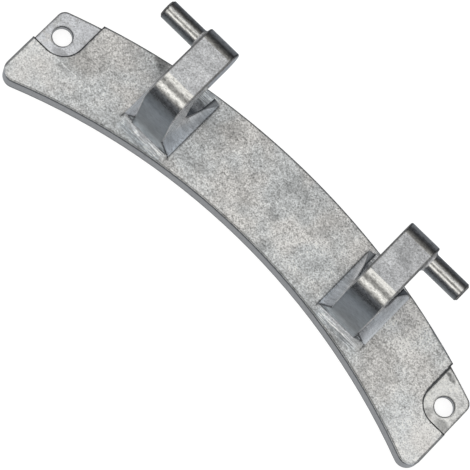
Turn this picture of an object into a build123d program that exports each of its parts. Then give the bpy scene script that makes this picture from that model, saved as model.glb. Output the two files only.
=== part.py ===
from build123d import *
import os
from math import asin, cos, radians, sin, sqrt, tan

# Washing machine door hinge, cast in one piece. Millimetres.
# The origin is midway between the two screw holes, on the flat back face.
# +X runs along the row of screw holes, +Y points to the convex edge and the pins,
# and +Z stands out of the back face, the way the two hook arms rise.

# Curved plate
plate_width = 35.4          # from the concave edge to the convex edge
plate_thickness = 8.2
inner_edge_radius = 271.0   # concave edge, on the porthole side
inner_edge_y = -8.0         # where the concave edge crosses the middle of the plate
end_corner_radius = 5.0     # corners of the concave edge
lug_corner_radius = 3.6     # corners of the convex edge, on the screw lugs
plate_edge_rounding = 0.6

# Screw lugs, stepped down from the plate's top at both ends of the convex edge
screw_spacing = 202.0
screw_end_distance = 7.2    # from the centre of a screw hole to the plate's end
screw_hole_diameter = 7.8
lug_thickness = 3.0
lug_seat_radius = 8.9       # clear radius round the screw, up to the wall of the step

# Hook arms
arm_spacing = 102.6         # between the centres of the two arms
arm_width = 14.4
arm_depth = 12.2            # thickness of the bar that is bent into the hook
arm_front_y = -6.7          # front face of the upright part
arm_bend_radius = 11.0      # outside of the bend at the top
hook_corner_radius = 4.0    # inside of that bend
heel_radius = 16.0          # hollow behind the upright, down to the plate
arm_edge_rounding = 0.8

# Hinge pins, cast on to the outer faces of the arms
pin_diameter = 8.0
pin_length = 17.2           # from the arm's outer face to the tip
pin_y = 23.2
pin_height = 49.4           # of the pins' axis above the back face
pin_tip_chamfer = 0.8
pin_root_fillet = 1.2

# Flared roots of the arms
root_side_spread = 4.6      # beyond each side face of the arm
root_front_height = 9.2     # above the plate; at the back it climbs to the top of the heel
root_edge_inset = 1.0       # between the root and the plate's convex edge
root_back_slope = 39.0      # degrees, from the plate up to the root's rear face
corner_slice = (-0.58, 0.52, 0.62)  # way the facet faces that slices off the inner rear corner
heel_inner_margin = 1.5     # the hollow is this much wider than the arm on the inner side
heel_widening_run = 8.0     # over which the hollow opens out to that margin
heel_outer_margin = 0.3     # and this much on the outer side

# Low pad in front of each arm
pad_reach = 2.5             # beyond the arm's front face
pad_height = 1.0            # above the plate, where the pad meets the front face
pad_fillet = 0.6            # between the pad and the front face
pad_fillet_inset = 1.5      # between the flank's foot and the start of that fillet

# Cored back: a rim, a skin under the plate's top, and ribs
rim_wall = 3.0
skin_thickness = 3.0
rib_thickness = 2.0
core_corner_radius = 1.5
inner_core_count = 4        # cores in a row between the two arms
outer_core_count = 2        # cores in a row between an arm and a screw lug

# Worked out from the sizes above
plate_length = screw_spacing + 2 * screw_end_distance
outer_edge_radius = inner_edge_radius + plate_width
arc_centre_y = inner_edge_y - inner_edge_radius
half_length = plate_length / 2
half_spacing = screw_spacing / 2
arm_x = arm_spacing / 2
arm_inner_x = arm_x - arm_width / 2
arm_face_x = arm_x + arm_width / 2
root_inner_x = arm_inner_x - root_side_spread
root_outer_x = arm_face_x + root_side_spread
nose_radius = arm_depth / 2
arm_top = pin_height + nose_radius
arm_underside = pin_height - nose_radius
arm_back_y = arm_front_y + arm_depth
heel_end_y = arm_back_y + heel_radius
heel_top = plate_thickness + heel_radius
root_front_top = plate_thickness + root_front_height
blend_front_y = arm_front_y + arm_edge_rounding
root_back_y = arc_centre_y + sqrt((outer_edge_radius - root_edge_inset) ** 2 - arm_x**2)
overlap = lug_thickness     # how far the arms and roots run down into the plate
foot_bottom = plate_thickness - overlap


def ring_sector(inner_radius, outer_radius, half_width):
    """Face between two arcs about the plate's arc centre, cut off square at both ends."""
    centre = Pos(0, arc_centre_y)
    sagitta = outer_radius - sqrt(outer_radius**2 - half_width**2)
    band_height = outer_radius - inner_radius + 2 * sagitta
    band = Pos(0, arc_centre_y + outer_radius - band_height / 2) * Rectangle(2 * half_width, band_height)
    return (centre * Circle(outer_radius) - centre * Circle(inner_radius)) & band


def plate_outline():
    """The plate's outline with its four corners rounded."""
    outline = ring_sector(inner_edge_radius, outer_edge_radius, half_length)
    corners = outline.vertices().sort_by(Axis.Y)
    outline = fillet(corners[:2], end_corner_radius)
    corners = [v for v in outline.vertices() if v.Y > -lug_seat_radius and abs(v.X) > half_length - 0.1]
    return fillet(corners, lug_corner_radius)


def lug_recess(side):
    """What is taken off the plate above one screw lug."""
    reach = lug_seat_radius + plate_length / 2
    square = Rectangle(reach, reach, align=(Align.MIN, Align.MIN))
    inner_corner = square.vertices().sort_by(lambda v: v.X + v.Y)[0]
    seat = Pos(half_spacing - lug_seat_radius, -lug_seat_radius, lug_thickness) * fillet(
        inner_corner, lug_seat_radius
    )
    cut = extrude(seat, plate_thickness)
    return cut if side > 0 else mirror(cut, Plane.YZ)


def core_row(inner_radius, outer_radius):
    """Pockets in the back between two arcs, from one screw lug to the other."""
    depth = plate_thickness - skin_thickness
    root_half = arm_width / 2 + root_side_spread - rim_wall
    inner_end = arm_x - root_half
    outer_start = arm_x + root_half
    outer_end = half_spacing - lug_seat_radius - rim_wall
    spans = []
    for start, end, count in (
        (-inner_end, inner_end, inner_core_count),
        (outer_start, outer_end, outer_core_count),
        (-outer_end, -outer_start, outer_core_count),
    ):
        pitch = (end - start + rib_thickness) / count
        spans += [(start + i * pitch, start + (i + 1) * pitch - rib_thickness) for i in range(count)]
    row = ring_sector(inner_radius, outer_radius, outer_end)
    cores = Part()
    for left, right in spans:
        window = Pos((left + right) / 2, 0) * Rectangle(right - left, 4 * plate_length)
        core = row & window
        core = fillet(core.vertices(), core_corner_radius)
        cores += extrude(core, depth)
    return cores


def plate():
    """The curved plate with its screw lugs, screw holes and cored back."""
    body = extrude(plate_outline(), plate_thickness)
    for side in (-1, 1):
        body -= lug_recess(side)
    top_edges = body.faces().sort_by(Axis.Z)[-1].outer_wire().edges()
    body = fillet(top_edges, plate_edge_rounding)
    for side in (-1, 1):
        body -= Pos(side * half_spacing, 0) * Cylinder(
            screw_hole_diameter / 2, 2 * plate_thickness, align=(Align.CENTER, Align.CENTER, Align.CENTER)
        )
    middle_radius = (inner_edge_radius + outer_edge_radius) / 2
    body -= core_row(inner_edge_radius + rim_wall, middle_radius - rib_thickness / 2)
    body -= core_row(middle_radius + rib_thickness / 2, outer_edge_radius - rim_wall)
    return body


def flank():
    """Inner half of one root: a flank that climbs from front to back, with a sliced rear corner."""
    slope_end_y = arm_back_y + heel_radius / tan(radians(root_back_slope))
    base = Pos(root_inner_x, arm_front_y, plate_thickness) * Rectangle(
        arm_face_x - root_inner_x, slope_end_y - arm_front_y, align=(Align.MIN, Align.MIN)
    )
    crown_rise = heel_top - root_front_top
    crown_slope = Plane(
        origin=(arm_x, (arm_front_y + arm_back_y) / 2, (root_front_top + heel_top) / 2),
        x_dir=(1, 0, 0),
        z_dir=(0, -crown_rise, arm_depth),
    )
    crown = crown_slope * Rectangle(arm_width, sqrt(arm_depth**2 + crown_rise**2))
    beyond = Pos(arm_x, root_back_y, heel_top) * Box(
        plate_width, plate_width, 4 * heel_top, align=(Align.CENTER, Align.MIN, Align.CENTER)
    )
    corner = Plane(origin=(root_inner_x, root_back_y, plate_thickness), z_dir=corner_slice)
    above_facet = corner * Box(
        2 * plate_width, 2 * plate_width, arm_top, align=(Align.CENTER, Align.CENTER, Align.MIN)
    )
    return loft([base, crown]) + extrude(base, -overlap) - beyond - above_facet


def outer_blend():
    """Outer half of one root: a hollow curve that runs out on to the plate."""
    blend_radius = (root_side_spread**2 + root_front_height**2) / (2 * root_side_spread)
    half_turn = asin(root_front_height / blend_radius) / 2
    middle = (
        arm_face_x + blend_radius * (1 - cos(half_turn)),
        root_front_top - blend_radius * sin(half_turn),
    )
    with BuildSketch(Plane.XZ) as section:
        with BuildLine():
            Line((arm_x, foot_bottom), (root_outer_x, foot_bottom))
            Line((root_outer_x, foot_bottom), (root_outer_x, plate_thickness))
            ThreePointArc((root_outer_x, plate_thickness), middle, (arm_face_x, root_front_top))
            Line((arm_face_x, root_front_top), (arm_x, root_front_top))
            Line((arm_x, root_front_top), (arm_x, foot_bottom))
        make_face()
    blend = Pos(0, blend_front_y, 0) * extrude(section.sketch, blend_front_y - root_back_y)
    rear_cut = Pos(arm_x, heel_end_y, plate_thickness) * Rot(-root_back_slope, 0, 0) * Box(
        plate_width, plate_width, heel_radius, align=(Align.CENTER, Align.CENTER, Align.MIN)
    )
    return blend - rear_cut


def pad():
    """Low sloped pad in front of one arm, with a fillet up to the arm's front face."""
    toe_y = arm_front_y - pad_reach
    top = plate_thickness + pad_height
    wall_top = top + 2 * pad_fillet
    slope = [(toe_y, foot_bottom), (toe_y, plate_thickness), (arm_front_y, top)]
    low = make_face(Polyline(*slope, (blend_front_y, top), (blend_front_y, foot_bottom), close=True))
    wall = [(arm_front_y, wall_top), (blend_front_y, wall_top), (blend_front_y, foot_bottom)]
    tall = make_face(Polyline(*slope, *wall, close=True))
    corner = [v for v in tall.vertices() if abs(v.X - arm_front_y) < 0.01 and abs(v.Y - top) < 0.01]
    tall = fillet(corner, pad_fillet)
    fillet_start_x = root_inner_x + pad_fillet_inset
    ledge = Pos(root_inner_x, 0, 0) * extrude(Plane.YZ * low, root_outer_x - root_inner_x)
    rounded = Pos(fillet_start_x, 0, 0) * extrude(Plane.YZ * tall, arm_face_x - fillet_start_x)
    behind_flank = Pos(root_inner_x, arm_front_y, 0) * Box(
        arm_x - root_inner_x, arm_depth, arm_top, align=(Align.MIN, Align.MIN, Align.MIN)
    )
    return ledge + rounded - behind_flank


def heel_hollow():
    """What is taken out of one root behind the upright. It opens out a little on the inner side."""
    far_y = heel_end_y + plate_width
    diagonal = heel_radius * sqrt(0.5)
    with BuildSketch(Plane.YZ) as side_view:
        with BuildLine():
            ThreePointArc(
                (arm_back_y, heel_top),
                (heel_end_y - diagonal, heel_top - diagonal),
                (heel_end_y, plate_thickness),
            )
            Line((heel_end_y, plate_thickness), (far_y, plate_thickness))
            Line((far_y, plate_thickness), (far_y, heel_top))
            Line((far_y, heel_top), (arm_back_y, heel_top))
        make_face()
    outer_x = arm_face_x + heel_outer_margin
    wide_x = arm_inner_x - heel_inner_margin
    wide_y = arm_back_y + heel_widening_run
    inner_line = [(arm_inner_x, arm_back_y), (wide_x, wide_y), (wide_x, far_y)]
    outer_line = [(outer_x, far_y), (outer_x, arm_back_y)]
    plan = make_face(Polyline(*inner_line, *outer_line, close=True))
    return extrude(side_view.sketch, 2 * arm_face_x) & extrude(plan, arm_top)


def root():
    """Flared foot of one arm, with its pad, hollowed behind the upright."""
    foot = flank() + outer_blend()
    inside_edge = Pos(0, arc_centre_y) * Cylinder(outer_edge_radius - root_edge_inset, 4 * arm_top)
    return (foot & inside_edge) - heel_hollow() + pad()


def hook_profile():
    """Side view of one arm: upright, bend, reach, rounded nose, and the hollow heel."""
    bend_y = arm_front_y + arm_bend_radius
    bend_z = arm_top - arm_bend_radius
    diagonal = sqrt(0.5)
    with BuildSketch(Plane.YZ) as side_view:
        with BuildLine():
            Line((arm_front_y, foot_bottom), (arm_front_y, bend_z))
            ThreePointArc(
                (arm_front_y, bend_z),
                (bend_y - arm_bend_radius * diagonal, bend_z + arm_bend_radius * diagonal),
                (bend_y, arm_top),
            )
            Line((bend_y, arm_top), (pin_y, arm_top))
            ThreePointArc((pin_y, arm_top), (pin_y + nose_radius, pin_height), (pin_y, arm_underside))
            Line((pin_y, arm_underside), (arm_back_y + hook_corner_radius, arm_underside))
            ThreePointArc(
                (arm_back_y + hook_corner_radius, arm_underside),
                (
                    arm_back_y + hook_corner_radius * (1 - diagonal),
                    arm_underside - hook_corner_radius * (1 - diagonal),
                ),
                (arm_back_y, arm_underside - hook_corner_radius),
            )
            Line((arm_back_y, arm_underside - hook_corner_radius), (arm_back_y, heel_top))
            ThreePointArc(
                (arm_back_y, heel_top),
                (heel_end_y - heel_radius * diagonal, heel_top - heel_radius * diagonal),
                (heel_end_y, plate_thickness),
            )
            Line((heel_end_y, plate_thickness), (heel_end_y, foot_bottom))
            Line((heel_end_y, foot_bottom), (arm_front_y, foot_bottom))
        make_face()
    return side_view.sketch


def arm():
    """One hook arm, with its side edges rounded."""
    bar = extrude(Pos(arm_x, 0, 0) * hook_profile(), arm_width / 2, both=True)
    side_edges = [
        edge
        for edge in bar.edges()
        if abs(abs(edge.center().X - arm_x) - arm_width / 2) < 0.01
        and edge.center().Z > plate_thickness
        and edge.bounding_box().size.X < 0.01
        and edge.bounding_box().max.Z > plate_thickness + 0.01
    ]
    return fillet(side_edges, arm_edge_rounding)


def pin():
    """One hinge pin with a chamfered tip and a fillet at its root."""
    shaft = Pos(arm_x, pin_y, pin_height) * Rot(0, 90, 0) * Cylinder(
        pin_diameter / 2, arm_width / 2 + pin_length, align=(Align.CENTER, Align.CENTER, Align.MIN)
    )
    return chamfer(shaft.edges().sort_by(Axis.X)[-1], pin_tip_chamfer)


def hooked_pin():
    """Arm and pin joined, with the fillet between them."""
    joined = arm() + pin()
    root_edges = [
        edge
        for edge in joined.edges()
        if edge.geom_type == GeomType.CIRCLE
        and abs(edge.radius - pin_diameter / 2) < 0.01
        and abs(edge.center().X - arm_face_x) < 0.01
    ]
    return fillet(root_edges, pin_root_fillet)


def hinge_casting():
    """The whole casting."""
    right = root() + hooked_pin()
    return plate() + right + mirror(right, Plane.YZ)


os.makedirs("parts", exist_ok=True)
casting = hinge_casting()
casting.label = "hinge_casting"
export_step(casting, "parts/hinge_casting.step")
print("solids", len(casting.solids()), "volume", round(casting.volume), "box", casting.bounding_box().size)
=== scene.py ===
import bpy
from math import dist, pi, radians
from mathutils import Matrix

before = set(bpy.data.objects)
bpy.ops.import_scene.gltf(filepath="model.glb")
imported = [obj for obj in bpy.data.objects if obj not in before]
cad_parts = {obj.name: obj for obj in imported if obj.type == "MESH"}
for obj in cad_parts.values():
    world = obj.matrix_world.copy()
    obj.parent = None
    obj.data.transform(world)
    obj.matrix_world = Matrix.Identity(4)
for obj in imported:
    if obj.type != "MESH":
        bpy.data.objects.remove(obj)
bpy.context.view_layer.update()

# Colours of the raw casting, and of painted light in the hollows and painted shade on dark lines
LIGHT_METAL = (0.725, 0.73, 0.755, 1)
DULL_METAL = (0.505, 0.51, 0.53, 1)
SMOOTH_METAL = (0.73, 0.73, 0.735, 1)
FRONT_METAL = (0.56, 0.59, 0.61, 1)
FLANK_METAL = (0.70, 0.735, 0.77, 1)
BAND_METAL = (0.96, 0.915, 0.87, 1)
# painted light: a lighter copy of the smooth metal for the hollows behind the arms
HOLLOW_PAINTED_LIGHT = (0.93, 0.965, 1.0, 1)
LEFT_LUG_METAL = (0.70, 0.72, 0.78, 1)
RIGHT_LUG_METAL = (0.87, 0.88, 0.90, 1)
WARM_TINT = (1.0, 0.985, 0.965, 1)
COOL_TINT = (0.965, 0.99, 1.0, 1)
ARM_TINT = (0.945, 0.96, 0.985, 1)
FOOT_TINT = (0.955, 0.985, 1.02, 1)
# painted shade: the near-black of the dark lines along edges, lug steps and rims
EDGE_SHADE_COLOUR = (0.02, 0.022, 0.026, 1)

# Sizes of the casting, in metres
HOLE_OUT = 0.101  # from the middle of the plate to a screw hole
STEP_RADIUS = 0.0089  # of the wall round a screw lug
ARM_OUT = 0.0513  # from the middle of the plate to the middle of an arm
EDGE_RADIUS = 0.271  # of the plate's concave edge
EDGE_CENTRE_Y = -0.279

# Noise in the metal, each with its scale of about 1 / its size in metres
MIDDLE = 0.5  # of every noise
GRIT_SCALE = 2600
GRAIN = {"scale": 1500, "detail": 0}
PITS = {"scale": 620, "detail": 1.5}
WAVES = {"scale": 700, "detail": 1}
MOTTLE = {"scale": 170, "detail": 2, "roughness": 0.6}
PATCHES = {"scale": 48, "detail": 2, "distortion": 0.4}
TINTS = {"scale": 75, "detail": 1}
FLOW = {"scale": 1150, "detail": 2}
# the next noise draws the lines of painted highlight on the feet and the fronts
HIGHLIGHT_STREAK_NOISE = {"scale": 2100, "detail": 1}
ALONG_CASTING = (0.5, 1, 1)  # stretches waves and flow marks along x
ALONG_FOOT = (0.1, 1, 1)  # stretches the painted highlight lines further
WARM_TO_COOL = (0.35, 0.65)
FLOW_MARKS = (0.46, 0.66)
HIGHLIGHT_STREAK_LINES = (0.44, 0.64)

# The zones of the finish, with their fades and the strength of each change. A fade starts at the
# first number of its pair and is over at the second. Lengths are in metres: heights over the flat
# underside, distances out from the middle of the plate or of an arm, and y, which runs from the
# front, where the concave edge is, to the rear, where the convex edge and the pins are. How far a
# face is turned up or to the rear is that part of its normal, from -1 to 1.

# Main heights
LUG_FLOOR = (0.0032, 0.0036)
PLATE_TOP = (0.0075, 0.0080)
ABOVE_PLATE = (0.0085, 0.0095)
ROOT_TOP = (0.024, 0.026)

# Blasted flats, and the low pad in front of each arm
LEVEL = (0.9985, 0.9998)
PAD_LEVEL = (0.85, 0.90)
PAD_TOP = (0.0093, 0.0098)
MOTTLE_DULL = (0.40, 0.66)
MOTTLE_SHARE = 0.6
PATCHES_DULL = (0.42, 0.62)
PATCHES_SHARE = 0.4

# Lugs, from the left one to the right one, and the worn places on their floors
LEFT_TO_RIGHT = (-0.09, 0.09)
LUG_WORN = (0.5, 0.7)
LUG_WEAR = 0.8

# Painted light on the corners at both ends of the concave edge
CORNER_OUT = (0.075, 0.104)
CORNER_REAR = (-0.014, 0.004)
CORNER_LESS_DULL = 0.6
CORNER_PAINTED_LIGHT = 0.19

# Foot: the strip of plate in front of each arm, with lines of painted highlight on a painted shade
FOOT_SIDE = (0.0085, 0.0120)
FOOT_FRONT = (-0.0126, -0.0098)
FOOT_HIGHLIGHTS = 0.80
FOOT_SHADE = 0.18

# Run-out: the lowest metal of each arm's front, which mirrors less
RUN_OUT_BOTTOM = (0.0083, 0.0088)
RUN_OUT_TOP = (0.0096, 0.0112)
RUN_OUT_SIDE = (0.0060, 0.0080)
RUN_OUT_REAR = (-0.0062, -0.0058)
RUN_OUT_DULL = 0.30

# Front faces of the arms, with painted shade low down, and painted light with lines of painted
# highlight at the very foot
FRONT_TURN = (-0.92, -0.70)
FRONT_SHADE_TOP = (0.012, 0.040)
FRONT_SHADE = 0.2
LOW_FRONT_TOP = (0.0095, 0.0200)
LOW_FRONT_PAINTED_LIGHT = 0.70
LOW_FRONT_HIGHLIGHTS = 0.55
FRONT_CLOUDS = 0.5

# Hooks: painted light on the nose, and painted shade on the curl where it turns down and on the
# pins' tips
NOSE_REAR = (0.0235, 0.0245)
NOSE_SIDE = (0.0070, 0.0076)
NOSE_PAINTED_LIGHT = 0.45
CURL_START = (0.07, 0.17)
CURL_END = (0.35, 0.70)
CURL_BOTTOM = (0.050, 0.051)
CURL_SIDE = (0.0066, 0.0072)
CURL_SHADE = 0.36
PIN_TIP = (0.0744, 0.0750)
PIN_TIP_SHADE = 0.55

# Flanks of the flared roots
FLANK_STEEPEST = (0.2, 0.3)
FLANK_FLATTEST = (0.80, 0.93)
FLANK_NEAR_ARM = (0.0070, 0.0115)
FLANK_NEAR_SHADE = 0.3
FLANK_REAR = (-0.006, 0.010)
FLANK_REAR_SHADE = 0.24
FLANK_LIFT = 0.16

# Hollows behind the arms, painted lighter, whose inner sides mirror less
HOLLOW_FRONT = (0.0065, 0.0075)
HOLLOW_INNER = (0.0500, 0.0520)
HOLLOW_DULL = 0.21

# Flow marks in smooth metal: the least of them, and more on bends and pins, and on the fronts
FLOW_SHADE = 0.12
FLOW_ON_SKIN = 0.22
FLOW_ON_FRONT = 0.03

# Speckle in the colour: of grit, grain and pits, then how strong it is by zone
SPECKLE = (0.62, 0.9, 0.75)
SPECKLE_LEAST = 0.2
SPECKLE_BLASTED = 0.8
SPECKLE_SKIN = 0.2
CALMER_LUG = 0.4
CALMER_FOOT = 0.5
CALMER_ARM = 0.25
CALMER_CORNER = 0.25

# Painted shade along edges, found where a rounded edge would turn the face away
EDGE_REACH = 0.002
EDGE_SAMPLES = 8
EDGE_TURN = (0.04, 0.12)
RIM_TURN = (0.010, 0.035)
RIM_REACH = (0.0008, 0.0010)
FRONT_FOOT_TOP = (0.0100, 0.0110)
FRONT_FOOT_SIDE = (0.0052, 0.0068)
# how much of the painted edge shade is left off the foot strips and the foot of each front
FOOT_UNSHADED = 0.9
EDGE_SHADE_STRENGTH = 0.92

# Painted shade round the lugs' steps, on the arms' rims and on the plate's ends
STEP_REACH = (0.0004, 0.0008)
STEP_WAVER = 0.0006  # how far the pits push the line about
STEP_BOTTOM = (0.0025, 0.0029)
ARM_RIM_IN = (0.0062, 0.0066)
ARM_RIM_OUT = (0.0070, 0.0072)
ARM_RIM_BOTTOM = (0.040, 0.044)
ARM_RIM_REAR = (-0.007, 0.006)
ARM_RIM_SHADE = 0.75
END_RIM_OUT = (0.1070, 0.1075)
END_RIM_BOTTOM = (0.0068, 0.0076)
END_RIM_SHADE = 0.7

# Roughness, and the relief: of grit, grain and pits, and of the waves in smooth metal
ROUGH_LEAST = 0.16
ROUGH_BLASTED = 0.17
ROUGH_FRONT = 0.25
ROUGH_GRAIN = 0.15
RELIEF = (0.25, 0.4, 0.3)
RELIEF_LEAST = 0.15
RELIEF_BLASTED = 0.85
RELIEF_WAVES = 0.17
BUMP_STRENGTH = 0.42
BUMP_HEIGHT = 0.0002

# Light scratches on the plate's top, from one x, y to the other
SCRATCHES = (
    ((0.0948, -0.0099), (0.1076, -0.0125)),
    ((-0.0970, -0.0091), (-0.0848, -0.0088)),
    ((0.0690, -0.0122), (0.0810, -0.0107)),
)
SCRATCH_WIDTH = (0.00015, 0.0004)
SCRATCH_FADE = 0.002
SCRATCH_GAPS = (-0.5, 0.1)
SCRATCH_SHINE = 0.38

# Stains: centre, how far they reach along x and y, how dark. Below 0 it is a cleaner patch.
PLATE_STAINS = (
    ((-0.0668, 0.0184), 0.0046, 0.0026, 0.60),
    ((-0.0900, -0.0044), 0.0100, 0.0080, 0.30),
    ((-0.0283, -0.0006), 0.0040, 0.0030, 0.19),
    ((-0.0074, 0.0024), 0.0040, 0.0030, 0.19),
    ((0.0038, 0.0056), 0.0046, 0.0032, 0.20),
    ((0.0047, 0.0195), 0.0070, 0.0040, 0.15),
    ((0.0099, -0.0048), 0.0036, 0.0026, 0.20),
    ((-0.0305, 0.0167), 0.0060, 0.0040, 0.12),
    ((0.0690, 0.0100), 0.0160, 0.0120, -0.36),
    ((0.0265, 0.0010), 0.0160, 0.0130, -0.15),
)
LUG_STAINS = (
    ((0.1050, -0.0060), 0.0042, 0.0030, 0.50),
    ((0.0940, 0.0108), 0.0017, 0.0012, 0.60),
    ((0.0963, 0.0100), 0.0018, 0.0012, 0.50),
    ((0.0980, -0.0052), 0.0025, 0.0025, 0.35),
    ((-0.0965, -0.0062), 0.0050, 0.0025, 0.35),
)
ARM_STAINS = (
    ((0.0520, 0.0190), 0.0080, 0.0070, 0.20),
)
ARM_TOP = (0.050, 0.052)
STAIN_FADE = (0.1, 1)  # by the square of the way from its centre to its end
STAIN_WAVER = 0.004  # how far the mottle pushes its outline about

# Floor and studio
FLOOR_SIZE = 6
FLOOR_GAP = 0.0004  # keeps the floor just clear of the casting
FLOOR_WHITE = (0.97, 0.97, 0.97, 1)
WHITE = (1, 1, 1, 1)
FLOOR_GLOW = 1.15
FLOOR_GLOW_SHARE = 0.7
PLAIN_LIGHT = 1.06

# What the metal mirrors, by the angle in degrees from straight up towards +Y: brightness
STUDIO = (
    (-180, 0.34), (-165, 0.31), (-150, 0.28), (-135, 0.24), (-115, 0.19), (-95, 0.045),
    (-85, 0.05), (-75, 0.09), (-65, 0.14), (-55, 0.29), (-46, 1.02), (-39, 1.40), (-32, 1.07),
    (-26, 0.45), (-19, 0.33), (-12, 0.41), (-5, 0.93), (2, 1.20), (8, 1.02), (15, 0.88),
    (25, 0.49), (35, 0.20), (45, 0.08), (65, 0.03), (75, 0.06), (95, 0.12), (115, 0.14),
    (135, 0.20), (155, 0.34), (180, 0.34),
)
WARM_LIGHT = (1.0, 0.985, 0.925)
COOL_LIGHT = (0.91, 0.97, 1.05)
WARM_ANGLE = 60  # the light is warm up to here, on both sides of straight up
UP_ON_RAMP = 0.5  # where straight up lies on the ramp

# What it mirrors past its two ends instead: an even glow, lighter to the right and higher up. These
# fades go by the part of the mirrored direction along x, or along z for the height.
ENDS = (0.25, 0.65)
END_GLOW = 0.28
RIGHT_END = (0.3, 0.95)
RIGHT_GLOW = 0.13
HIGH_END = (-0.2, 0.4)
HIGH_GLOW = 0.34

# Camera at the photo's viewing angle, turned by degrees about x, y and z
CAMERA_PLACE = (0.0554552, -0.3124547, 1.1718727)
CAMERA_TURN = (12.3677261, -8.1994099, 43.5749366)
SENSOR_WIDTH = 36
FOCAL_LENGTH = 244.46


class Value:
    """One output of a shader node. An expression on it adds its Math nodes."""

    def __init__(self, nodes, socket):
        self.nodes = nodes
        self.socket = socket

    def math(self, operation, *numbers):
        return self.nodes.add("ShaderNodeMath", {"operation": operation}, dict(enumerate(numbers)))

    def __add__(self, other):
        return self.math("ADD", self, other)

    def __sub__(self, other):
        return self.math("SUBTRACT", self, other)

    def __rsub__(self, other):
        return self.math("SUBTRACT", other, self)

    def __mul__(self, other):
        return self.math("MULTIPLY", self, other)

    def __truediv__(self, other):
        return self.math("DIVIDE", self, other)

    def __pow__(self, other):
        return self.math("POWER", self, other)

    __radd__ = __add__
    __rmul__ = __mul__

    def size(self):
        """The value without its sign."""
        return self.math("ABSOLUTE", self)

    def larger(self, other):
        """The larger of two values."""
        return self.math("MAXIMUM", self, other)

    def smaller(self, other):
        """The smaller of two values."""
        return self.math("MINIMUM", self, other)

    def above(self, start, end):
        """0 up to start, 1 from end on, and smooth in between."""
        return self.nodes.add(
            "ShaderNodeMapRange",
            {"interpolation_type": "SMOOTHSTEP"},
            {"Value": self, "From Min": start, "From Max": end},
        )

    def below(self, start, end):
        """1 up to start, 0 from end on, and smooth in between."""
        return 1 - self.above(start, end)


class Nodes:
    """The nodes of one material, or of the studio's light."""

    def __init__(self, tree):
        self.tree = tree
        tree.nodes.clear()

    def add(self, kind, settings=(), sockets=(), out=0):
        """A new node: its settings first, then its sockets' values or links. Returns its output, or
        a list where out names several."""
        node = self.tree.nodes.new(kind)
        for name, setting in dict(settings).items():
            if name == "stops":
                self.set_stops(node.color_ramp.elements, setting)
            else:
                setattr(node, name, setting)
        for name, value in dict(sockets).items():
            if isinstance(value, Value):
                self.tree.links.new(value.socket, node.inputs[name])
            else:
                node.inputs[name].default_value = value
        if not node.outputs:
            return None
        if isinstance(out, tuple):
            return [Value(self, node.outputs[name]) for name in out]
        return Value(self, node.outputs[out])

    def set_stops(self, elements, stops):
        """Puts these (place, colour) stops into a colour ramp."""
        while len(elements) < len(stops):
            elements.new(0.5)
        for element, (place, colour) in zip(elements, stops):
            element.position = place
            element.color = (*colour, 1)

    def mix(self, factor, first, second, blend="MIX"):
        """Two colours mixed."""
        settings = {"data_type": "RGBA", "blend_type": blend}
        return self.add("ShaderNodeMix", settings, {0: factor, 6: first, 7: second}, out=2)

    def scaled(self, colour, factor):
        """A colour made lighter or darker by a factor."""
        settings = {"operation": "SCALE"}
        return self.add("ShaderNodeVectorMath", settings, {0: colour, "Scale": factor})

    def lighter(self, colour, zone, share):
        """A colour made lighter by this share inside a zone."""
        return self.scaled(colour, 1 + zone * share)

    def darker(self, colour, zone, share):
        """A colour made darker by this share inside a zone."""
        return self.scaled(colour, 1 - zone * share)

    def alike(self, first, second):
        """1 where two directions are the same, and less the more they differ."""
        settings = {"operation": "DOT_PRODUCT"}
        return self.add("ShaderNodeVectorMath", settings, {0: first, 1: second}, out="Value")

    def split(self, vector, parts):
        """Some of the x, y and z parts of a vector."""
        return self.add("ShaderNodeSeparateXYZ", {}, {0: vector}, out=parts)

    def stretched(self, place, scale):
        """The same place on a scale that draws patterns out."""
        return self.add("ShaderNodeMapping", {}, {"Vector": place, "Scale": scale})

    def noise(self, place, scale, detail, roughness=0.5, distortion=0.0):
        """Smooth noise round its middle, of about 1 / scale metres."""
        sockets = {
            "Vector": place,
            "Scale": scale,
            "Detail": detail,
            "Roughness": roughness,
            "Distortion": distortion,
        }
        return self.add("ShaderNodeTexNoise", {}, sockets)


def scratch(x, y, start, end):
    """A thin line from start to end that fades at both ends."""
    length = dist(start, end)
    along_x, along_y = (end[0] - start[0]) / length, (end[1] - start[1]) / length
    run = (x - start[0]) * along_x + (y - start[1]) * along_y
    off = (y - start[1]) * along_x - (x - start[0]) * along_y
    line = off.size().below(*SCRATCH_WIDTH)
    return line * run.above(0, SCRATCH_FADE) * run.below(length - SCRATCH_FADE, length)


def stain(x, y, centre, reach_x, reach_y):
    """A soft oval spot, 1 in its middle."""
    off = ((x - centre[0]) / reach_x) ** 2 + ((y - centre[1]) / reach_y) ** 2
    return off.below(*STAIN_FADE)


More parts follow.
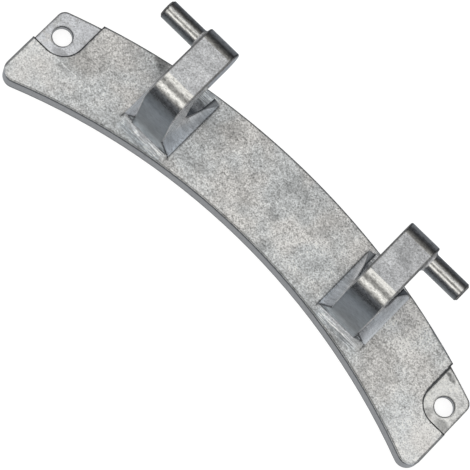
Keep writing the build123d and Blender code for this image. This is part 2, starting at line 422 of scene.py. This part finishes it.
class Surface:
    """The casting's surface: where a point lies, the noise in the metal and the finish's zones."""

    def __init__(self, nodes):
        self.nodes = nodes
        self.place, facing = nodes.add("ShaderNodeTexCoord", out=("Object", "Normal"))
        self.x, self.y, self.z = nodes.split(self.place, ("X", "Y", "Z"))
        self.turned_rear, self.turned_up = nodes.split(facing, ("Y", "Z"))
        self.out = self.x.size()
        self.by_arm = (self.out - ARM_OUT).size()
        self.add_noise()
        self.add_zones()

    def add_noise(self):
        """Noise, from the finest grit to the largest patches. The first four are round 0."""
        nodes, place = self.nodes, self.place
        along_casting = nodes.stretched(place, ALONG_CASTING)
        along_foot = nodes.stretched(place, ALONG_FOOT)
        sockets = {"Vector": place, "Scale": GRIT_SCALE}
        cells = nodes.add("ShaderNodeTexVoronoi", {}, sockets, out="Color")
        self.grit = nodes.add("ShaderNodeSeparateColor", {}, {0: cells}) - MIDDLE
        self.grain = nodes.noise(place, **GRAIN) - MIDDLE
        self.pits = nodes.noise(place, **PITS) - MIDDLE
        self.waves = nodes.noise(along_casting, **WAVES) - MIDDLE
        self.mottle = nodes.noise(place, **MOTTLE)
        self.patches = nodes.noise(place, **PATCHES)
        self.cool = nodes.noise(place, **TINTS).above(*WARM_TO_COOL)
        self.flow = nodes.noise(along_casting, **FLOW).above(*FLOW_MARKS)
        # lines of painted highlight
        self.highlight_streaks = nodes.noise(along_foot, **HIGHLIGHT_STREAK_NOISE).above(*HIGHLIGHT_STREAK_LINES)

    def add_zones(self):
        """Zones that several finishes share. Each is 1 inside and 0 outside."""
        self.above_plate = self.z.above(*ABOVE_PLATE)
        self.plate_top = self.z.above(*PLATE_TOP) * (1 - self.above_plate)
        self.lug_floor = self.z.below(*LUG_FLOOR)
        self.corner = self.out.above(*CORNER_OUT) * self.y.below(*CORNER_REAR)
        self.foot = self.plate_top * self.by_arm.below(*FOOT_SIDE) * self.y.above(*FOOT_FRONT)

        pad = self.turned_up.above(*PAD_LEVEL) * self.z.below(*PAD_TOP)
        self.blasted = self.turned_up.above(*LEVEL).larger(pad)
        self.smooth = 1 - self.blasted

        self.front = self.above_plate * self.turned_rear.below(*FRONT_TURN)
        below_root_top = self.z.below(*ROOT_TOP)
        slope = self.turned_up.above(*FLANK_STEEPEST) * self.turned_up.below(*FLANK_FLATTEST)
        self.flank = slope * below_root_top
        hollow = self.above_plate * below_root_top * self.y.above(*HOLLOW_FRONT)
        self.hollow = hollow * (1 - self.flank)
        skin = self.smooth * self.above_plate * (1 - self.front)
        self.skin = skin * (1 - self.flank) * (1 - self.hollow)

    def flat_colour(self):
        """Blasted flats: mottled, tinted, stained and scratched, with painted light on the corners
        and painted highlights on the foot strips.
        """
        nodes = self.nodes
        dullness = self.mottle.above(*MOTTLE_DULL) * MOTTLE_SHARE
        dullness = dullness + self.patches.above(*PATCHES_DULL) * PATCHES_SHARE
        # painted light: the corners lose most of their dull mottle
        colour = nodes.mix(dullness * (1 - self.corner * CORNER_LESS_DULL), LIGHT_METAL, DULL_METAL)
        tint = nodes.mix(self.cool, WARM_TINT, COOL_TINT)
        tint = nodes.mix(self.above_plate, tint, ARM_TINT)
        colour = nodes.mix(1.0, colour, tint, "MULTIPLY")

        lug_metal = nodes.mix(self.x.above(*LEFT_TO_RIGHT), LEFT_LUG_METAL, RIGHT_LUG_METAL)
        unworn = 1 - self.mottle.above(*LUG_WORN) * LUG_WEAR
        colour = nodes.mix(self.lug_floor * unworn, colour, lug_metal)
        # painted light: the corners made lighter
        colour = nodes.lighter(colour, self.corner, CORNER_PAINTED_LIGHT)
        colour = nodes.scaled(colour, 1 - self.stained())
        colour = nodes.lighter(colour, self.scratched(), SCRATCH_SHINE)
        # painted highlight lines on a painted shade over each foot strip
        colour = nodes.lighter(colour, self.foot, self.highlight_streaks * FOOT_HIGHLIGHTS - FOOT_SHADE)
        return nodes.mix(self.foot, colour, FOOT_TINT, "MULTIPLY")

    def stained(self):
        """How much darker the stains make a point."""
        wavy = self.y + (self.mottle - MIDDLE) * STAIN_WAVER
        total = 0.0
        for y, zone, stains in (
            (self.y, self.z.above(*ARM_TOP), ARM_STAINS),
            (wavy, self.plate_top, PLATE_STAINS),
            (wavy, self.lug_floor, LUG_STAINS),
        ):
            for centre, reach_x, reach_y, dark in stains:
                total = total + stain(self.x, y, centre, reach_x, reach_y) * zone * dark
        return total

    def scratched(self):
        """1 in the middle of a scratch, broken up by the grit."""
        total = 0.0
        for start, end in SCRATCHES:
            total = total + scratch(self.x, self.y, start, end)
        return total * self.plate_top * self.grit.above(*SCRATCH_GAPS)

    def side_colour(self):
        """Smooth metal: the band round the plate, the bends, pins, fronts, flanks and hollows."""
        nodes = self.nodes
        colour = nodes.mix(self.above_plate, BAND_METAL, SMOOTH_METAL)
        colour = nodes.mix(self.front, colour, FRONT_METAL)
        # painted shade low on the fronts, then painted light and lines of painted highlight at
        # their foot
        colour = nodes.darker(colour, self.front * self.z.below(*FRONT_SHADE_TOP), FRONT_SHADE)
        low_front = self.front * self.z.below(*LOW_FRONT_TOP)
        lift = LOW_FRONT_PAINTED_LIGHT + self.highlight_streaks * LOW_FRONT_HIGHLIGHTS
        colour = nodes.lighter(colour, low_front, lift)

        # painted light on the nose
        nose = self.y.above(*NOSE_REAR) * self.by_arm.below(*NOSE_SIDE)
        colour = nodes.lighter(colour, nose, NOSE_PAINTED_LIGHT)
        curl = self.turned_rear.above(*CURL_START) * self.turned_rear.below(*CURL_END)
        curl = curl * self.z.above(*CURL_BOTTOM) * self.by_arm.below(*CURL_SIDE)
        colour = nodes.darker(colour, curl, CURL_SHADE)
        colour = nodes.darker(colour, self.out.above(*PIN_TIP) * self.above_plate, PIN_TIP_SHADE)

        near_shade = self.by_arm.below(*FLANK_NEAR_ARM) * FLANK_NEAR_SHADE
        rear_shade = self.y.above(*FLANK_REAR) * FLANK_REAR_SHADE
        colour = nodes.mix(self.flank, colour, FLANK_METAL)
        colour = nodes.darker(colour, self.flank, near_shade + rear_shade - FLANK_LIFT)
        # painted light: the hollows get a lighter copy of the metal
        colour = nodes.mix(self.hollow, colour, HOLLOW_PAINTED_LIGHT)

        marks = self.flow * (FLOW_SHADE + self.skin * FLOW_ON_SKIN + self.front * FLOW_ON_FRONT)
        clouds = self.front * (self.mottle - MIDDLE) * FRONT_CLOUDS
        return nodes.scaled(colour, 1 - marks - clouds)

    def grains(self, shares):
        """Grit, grain and pits, added up in these shares."""
        grit, grain, pits = shares
        return self.grit * grit + self.grain * grain + self.pits * pits

    def speckle(self):
        """Factor of the fine light and dark grains, strongest on the blasted flats."""
        strength = SPECKLE_LEAST + self.blasted * SPECKLE_BLASTED + self.skin * SPECKLE_SKIN
        strength = strength * (1 - self.lug_floor * CALMER_LUG) * (1 - self.foot * CALMER_FOOT)
        strength = strength * (1 - self.above_plate * CALMER_ARM)
        strength = strength * (1 - self.corner * CALMER_CORNER)
        return 1 + self.grains(SPECKLE) * strength

    def painted_edge_shade(self):
        """Painted shade along the edges, where a rounded edge would mirror the dark, and a wider
        line of it along the rim of the concave edge.
        """
        nodes = self.nodes
        rounded = nodes.add("ShaderNodeBevel", {"samples": EDGE_SAMPLES}, {"Radius": EDGE_REACH})
        normal = nodes.add("ShaderNodeNewGeometry", out="Normal")
        turned = 1 - nodes.alike(rounded, normal)

        front_foot = self.above_plate * self.front * self.z.below(*FRONT_FOOT_TOP)
        front_foot = front_foot * self.by_arm.below(*FRONT_FOOT_SIDE)
        # the painted edge shade is mostly left off the foot strips and the foot of each front
        unshaded = (self.foot + front_foot).smaller(1) * FOOT_UNSHADED
        edges = turned.above(*EDGE_TURN) * (1 - unshaded)
        from_rim = (self.x ** 2 + (self.y - EDGE_CENTRE_Y) ** 2) ** 0.5 - EDGE_RADIUS
        rim = turned.above(*RIM_TURN) * from_rim.below(*RIM_REACH)
        return edges.larger(rim)

    def painted_step_shade(self):
        """An uneven line of painted shade at the foot of the wall round each screw lug."""
        inward = (HOLE_OUT - self.out).larger(0)
        forward = (0 - self.y).larger(0)
        from_wall = (inward ** 2 + forward ** 2) ** 0.5 - STEP_RADIUS
        line = (from_wall + self.pits * STEP_WAVER).size().below(*STEP_REACH)
        return line * self.z.above(*STEP_BOTTOM)

    def painted_rim_shade(self):
        """Painted shade on the long rims of the arms' tops and on the rims at the plate's ends."""
        arm_rim = self.by_arm.above(*ARM_RIM_IN) * self.by_arm.below(*ARM_RIM_OUT)
        arm_rim = arm_rim * self.z.above(*ARM_RIM_BOTTOM) * self.y.above(*ARM_RIM_REAR)
        end_rim = self.out.above(*END_RIM_OUT) * self.z.above(*END_RIM_BOTTOM)
        return (arm_rim * ARM_RIM_SHADE).larger(end_rim * END_RIM_SHADE)

    def colour(self):
        """The flats, the smooth metal, the speckle and the painted shade of the dark lines
        together.
        """
        colour = self.nodes.mix(self.blasted, self.side_colour(), self.flat_colour())
        colour = self.nodes.scaled(colour, self.speckle())
        # painted shade: dark lines along edges, lug steps and rims
        dark_lines = self.painted_edge_shade().larger(self.painted_step_shade()).larger(self.painted_rim_shade())
        return self.nodes.mix(dark_lines * EDGE_SHADE_STRENGTH, colour, EDGE_SHADE_COLOUR)

    def metallic(self):
        """Bare metal, with a duller skin in the inner hollows and the run-outs."""
        inner_hollow = self.hollow * self.out.below(*HOLLOW_INNER)
        run_out = self.z.above(*RUN_OUT_BOTTOM) * self.z.below(*RUN_OUT_TOP)
        run_out = run_out * self.by_arm.below(*RUN_OUT_SIDE) * self.y.below(*RUN_OUT_REAR)
        return 1 - inner_hollow * HOLLOW_DULL - run_out * RUN_OUT_DULL

    def roughness(self):
        """Rougher where the metal is blasted, and on the fronts."""
        rough = ROUGH_LEAST + self.blasted * ROUGH_BLASTED + self.front * ROUGH_FRONT
        return rough + self.grain * ROUGH_GRAIN

    def relief(self):
        """Grains on the blasted flats, and long waves where the metal is smooth."""
        grains = self.grains(RELIEF) * (RELIEF_LEAST + self.blasted * RELIEF_BLASTED)
        height = grains + self.waves * self.smooth * RELIEF_WAVES
        sockets = {"Height": height, "Strength": BUMP_STRENGTH, "Distance": BUMP_HEIGHT}
        return self.nodes.add("ShaderNodeBump", {}, sockets)


def new_material(name):
    """An empty material, and its nodes."""
    material = bpy.data.materials.new(name)
    material.use_nodes = True
    return material, Nodes(material.node_tree)


def cast_metal():
    """Raw die-cast metal: blasted and speckled on its flats, smooth where the die was smooth."""
    material, nodes = new_material("cast_metal")
    surface = Surface(nodes)
    sockets = {
        "Base Color": surface.colour(),
        "Metallic": surface.metallic(),
        "Roughness": surface.roughness(),
        "Normal": surface.relief(),
    }
    shader = nodes.add("ShaderNodeBsdfPrincipled", {}, sockets)
    nodes.add("ShaderNodeOutputMaterial", {}, {"Surface": shader})
    return material


def pale_floor():
    """Plain white that glows a little, so the floor stays even."""
    material, nodes = new_material("pale_floor")
    lit = nodes.add("ShaderNodeBsdfDiffuse", {}, {"Color": FLOOR_WHITE})
    glow = nodes.add("ShaderNodeEmission", {}, {"Color": WHITE, "Strength": FLOOR_GLOW})
    shader = nodes.add("ShaderNodeMixShader", {}, {0: FLOOR_GLOW_SHARE, 1: lit, 2: glow})
    nodes.add("ShaderNodeOutputMaterial", {}, {"Surface": shader})
    return material


def floor():
    """A plain pale floor under the casting. The metal doesn't mirror it."""
    for item in bpy.context.selected_objects:
        item.select_set(False)
    bpy.ops.mesh.primitive_plane_add(size=FLOOR_SIZE, location=(0, 0, -FLOOR_GAP))
    ground = bpy.context.object
    ground.name = "floor"
    ground.data.materials.append(pale_floor())
    ground.visible_glossy = False


def studio_stops():
    """Stops of the ramp that goes once round the casting, from straight down to straight down."""
    stops = []
    for degrees, brightness in STUDIO:
        tint = WARM_LIGHT if abs(degrees) < WARM_ANGLE else COOL_LIGHT
        stops.append((degrees / 360 + UP_ON_RAMP, [brightness * part for part in tint]))
    return stops


def studio_light():
    """Soft light from all round. The metal mirrors two long soft lights and a dark far side."""
    world = bpy.data.worlds.new("studio")
    world.use_nodes = True
    nodes = Nodes(world.node_tree)
    direction = nodes.add("ShaderNodeTexCoord", out="Generated")
    x, y, z = nodes.split(direction, ("X", "Y", "Z"))
    round_casting = y.math("ARCTAN2", y, z) / (2 * pi) + UP_ON_RAMP
    mirrored = nodes.add("ShaderNodeValToRGB", {"stops": studio_stops()}, {"Fac": round_casting})
    ends = END_GLOW + x.above(*RIGHT_END) * RIGHT_GLOW + z.above(*HIGH_END) * HIGH_GLOW
    mirrored = nodes.mix(x.size().above(*ENDS), mirrored, ends)
    mirrored = nodes.add("ShaderNodeBackground", {}, {"Color": mirrored, "Strength": 1.0})
    plain = nodes.add("ShaderNodeBackground", {}, {"Color": WHITE, "Strength": PLAIN_LIGHT})
    in_metal = nodes.add("ShaderNodeLightPath", out="Is Glossy Ray")
    light = nodes.add("ShaderNodeMixShader", {}, {0: in_metal, 1: plain, 2: mirrored})
    nodes.add("ShaderNodeOutputWorld", {}, {"Surface": light})
    bpy.context.scene.world = world


def camera():
    """A long lens at the photo's viewing angle."""
    lens = bpy.data.cameras.new("camera")
    lens.sensor_width = SENSOR_WIDTH
    lens.lens = FOCAL_LENGTH
    view = bpy.data.objects.new("camera", lens)
    view.location = CAMERA_PLACE
    view.rotation_euler = [radians(degrees) for degrees in CAMERA_TURN]
    bpy.context.collection.objects.link(view)
    bpy.context.scene.camera = view


metal = cast_metal()
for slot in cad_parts["hinge_casting"].material_slots:
    slot.material = metal
floor()
studio_light()
camera()
bpy.context.scene.view_settings.view_transform = "Standard"
